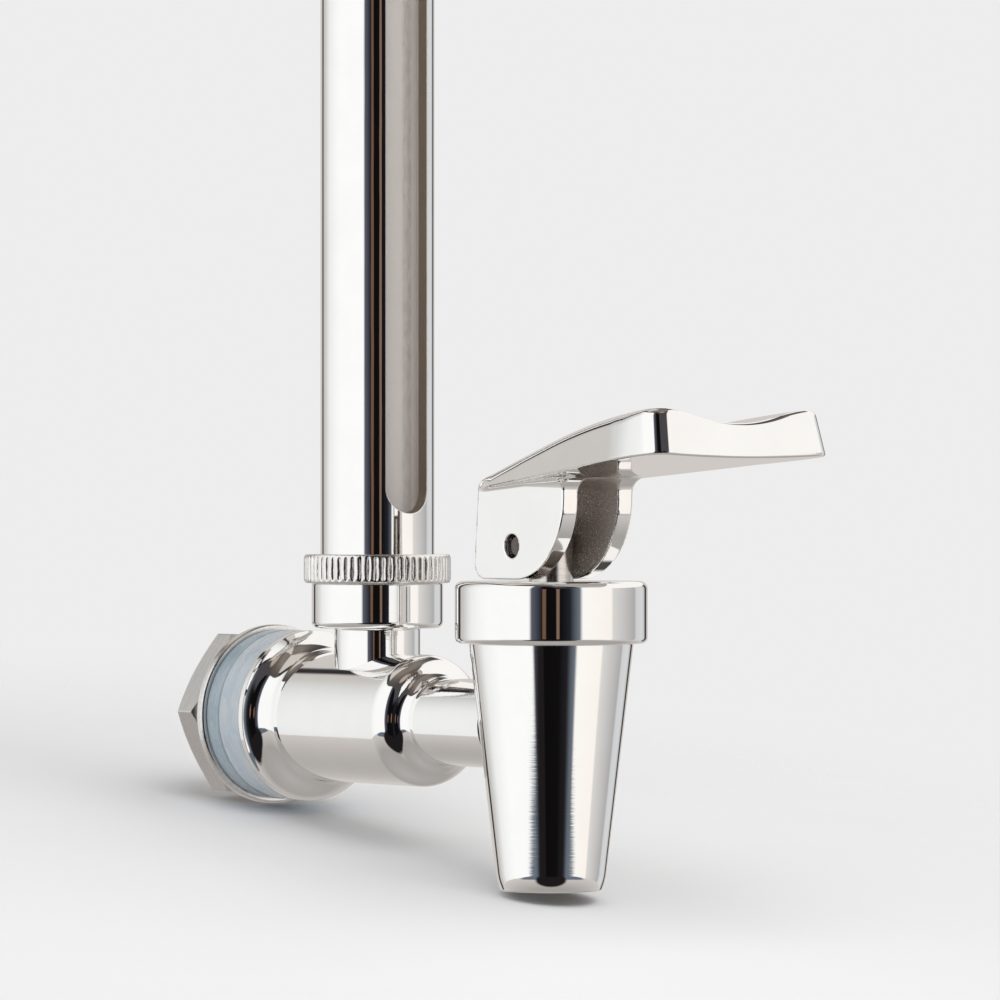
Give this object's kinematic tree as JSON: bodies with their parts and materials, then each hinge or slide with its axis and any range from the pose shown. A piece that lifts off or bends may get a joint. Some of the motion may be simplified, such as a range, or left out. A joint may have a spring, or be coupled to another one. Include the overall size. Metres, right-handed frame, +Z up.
{
  "type": "lever spigot with sight tube",
  "caption": "Polished steel lever spigot for a drinks dispenser, with a threaded shank and nut, silicone gaskets, a tapered spout and an upright slotted sight tube.",
  "frame": {"origin": "on the barrel's axis, at the rear face of the flange, which bears on the outer gasket", "axes": "+Y along the shank into the vessel, -Y towards the user, +Z up along the sight tube, +X across"},
  "size_m": [0.031, 0.127, 0.1905],
  "materials": {
    "polished_steel": "mirror-polished stainless steel",
    "cast_steel": "polished cast stainless steel, rough as cast between the ears",
    "brushed_nut": "brushed stainless steel",
    "spring_wire": "drawn stainless spring wire",
    "clear_silicone": "translucent bluish-white silicone",
    "black_rubber": "matt black rubber",
    "clear_glass": "clear glass tube"
  },
  "bodies": {
    "housing": {"tee_body": "polished_steel", "tube_socket": "polished_steel", "outer_gasket": "clear_silicone", "inner_gasket": "clear_silicone", "flat_washer": "polished_steel", "hex_nut": "brushed_nut", "tube_gasket": "black_rubber", "knurled_nut": "polished_steel", "sight_tube": "polished_steel", "sight_glass": "clear_glass", "top_seal": "black_rubber", "top_cap": "polished_steel", "spout_body": "polished_steel", "spout_neck": "polished_steel", "neck_seal": "black_rubber", "bonnet": "polished_steel", "seat_cup": "clear_silicone", "stem_spring": "spring_wire"},
    "lift": {"spring_seat": "brushed_nut"},
    "stem": {"stem": "polished_steel", "pivot_pin": "brushed_nut"},
    "lever": {"lever": "cast_steel"}
  },
  "joints": [
    {"name": "stem_lift", "type": "slide", "parent": "housing", "child": "lift", "axis": [0, 0, 1], "range_m": [0, 0.00236], "stiffness_N_per_m": 2500, "springref_m": -0.004, "deforming": ["stem_spring", "seat_cup"]},
    {"name": "handle_swivel", "type": "hinge", "parent": "lift", "child": "stem", "pos_m": [0, -0.0617, 0], "axis": [0, 0, 1], "range_deg": [-140, 140]},
    {"name": "lever_press", "type": "hinge", "parent": "stem", "child": "lever", "pos_m": [0, -0.0605, 0.0258], "axis": [1, 0, 0], "range_deg": [0, 45]}
  ],
  "couplings": [
    {"joint": "lever_press", "follows": "stem_lift", "rad_per_m": 332.5}
  ]
}
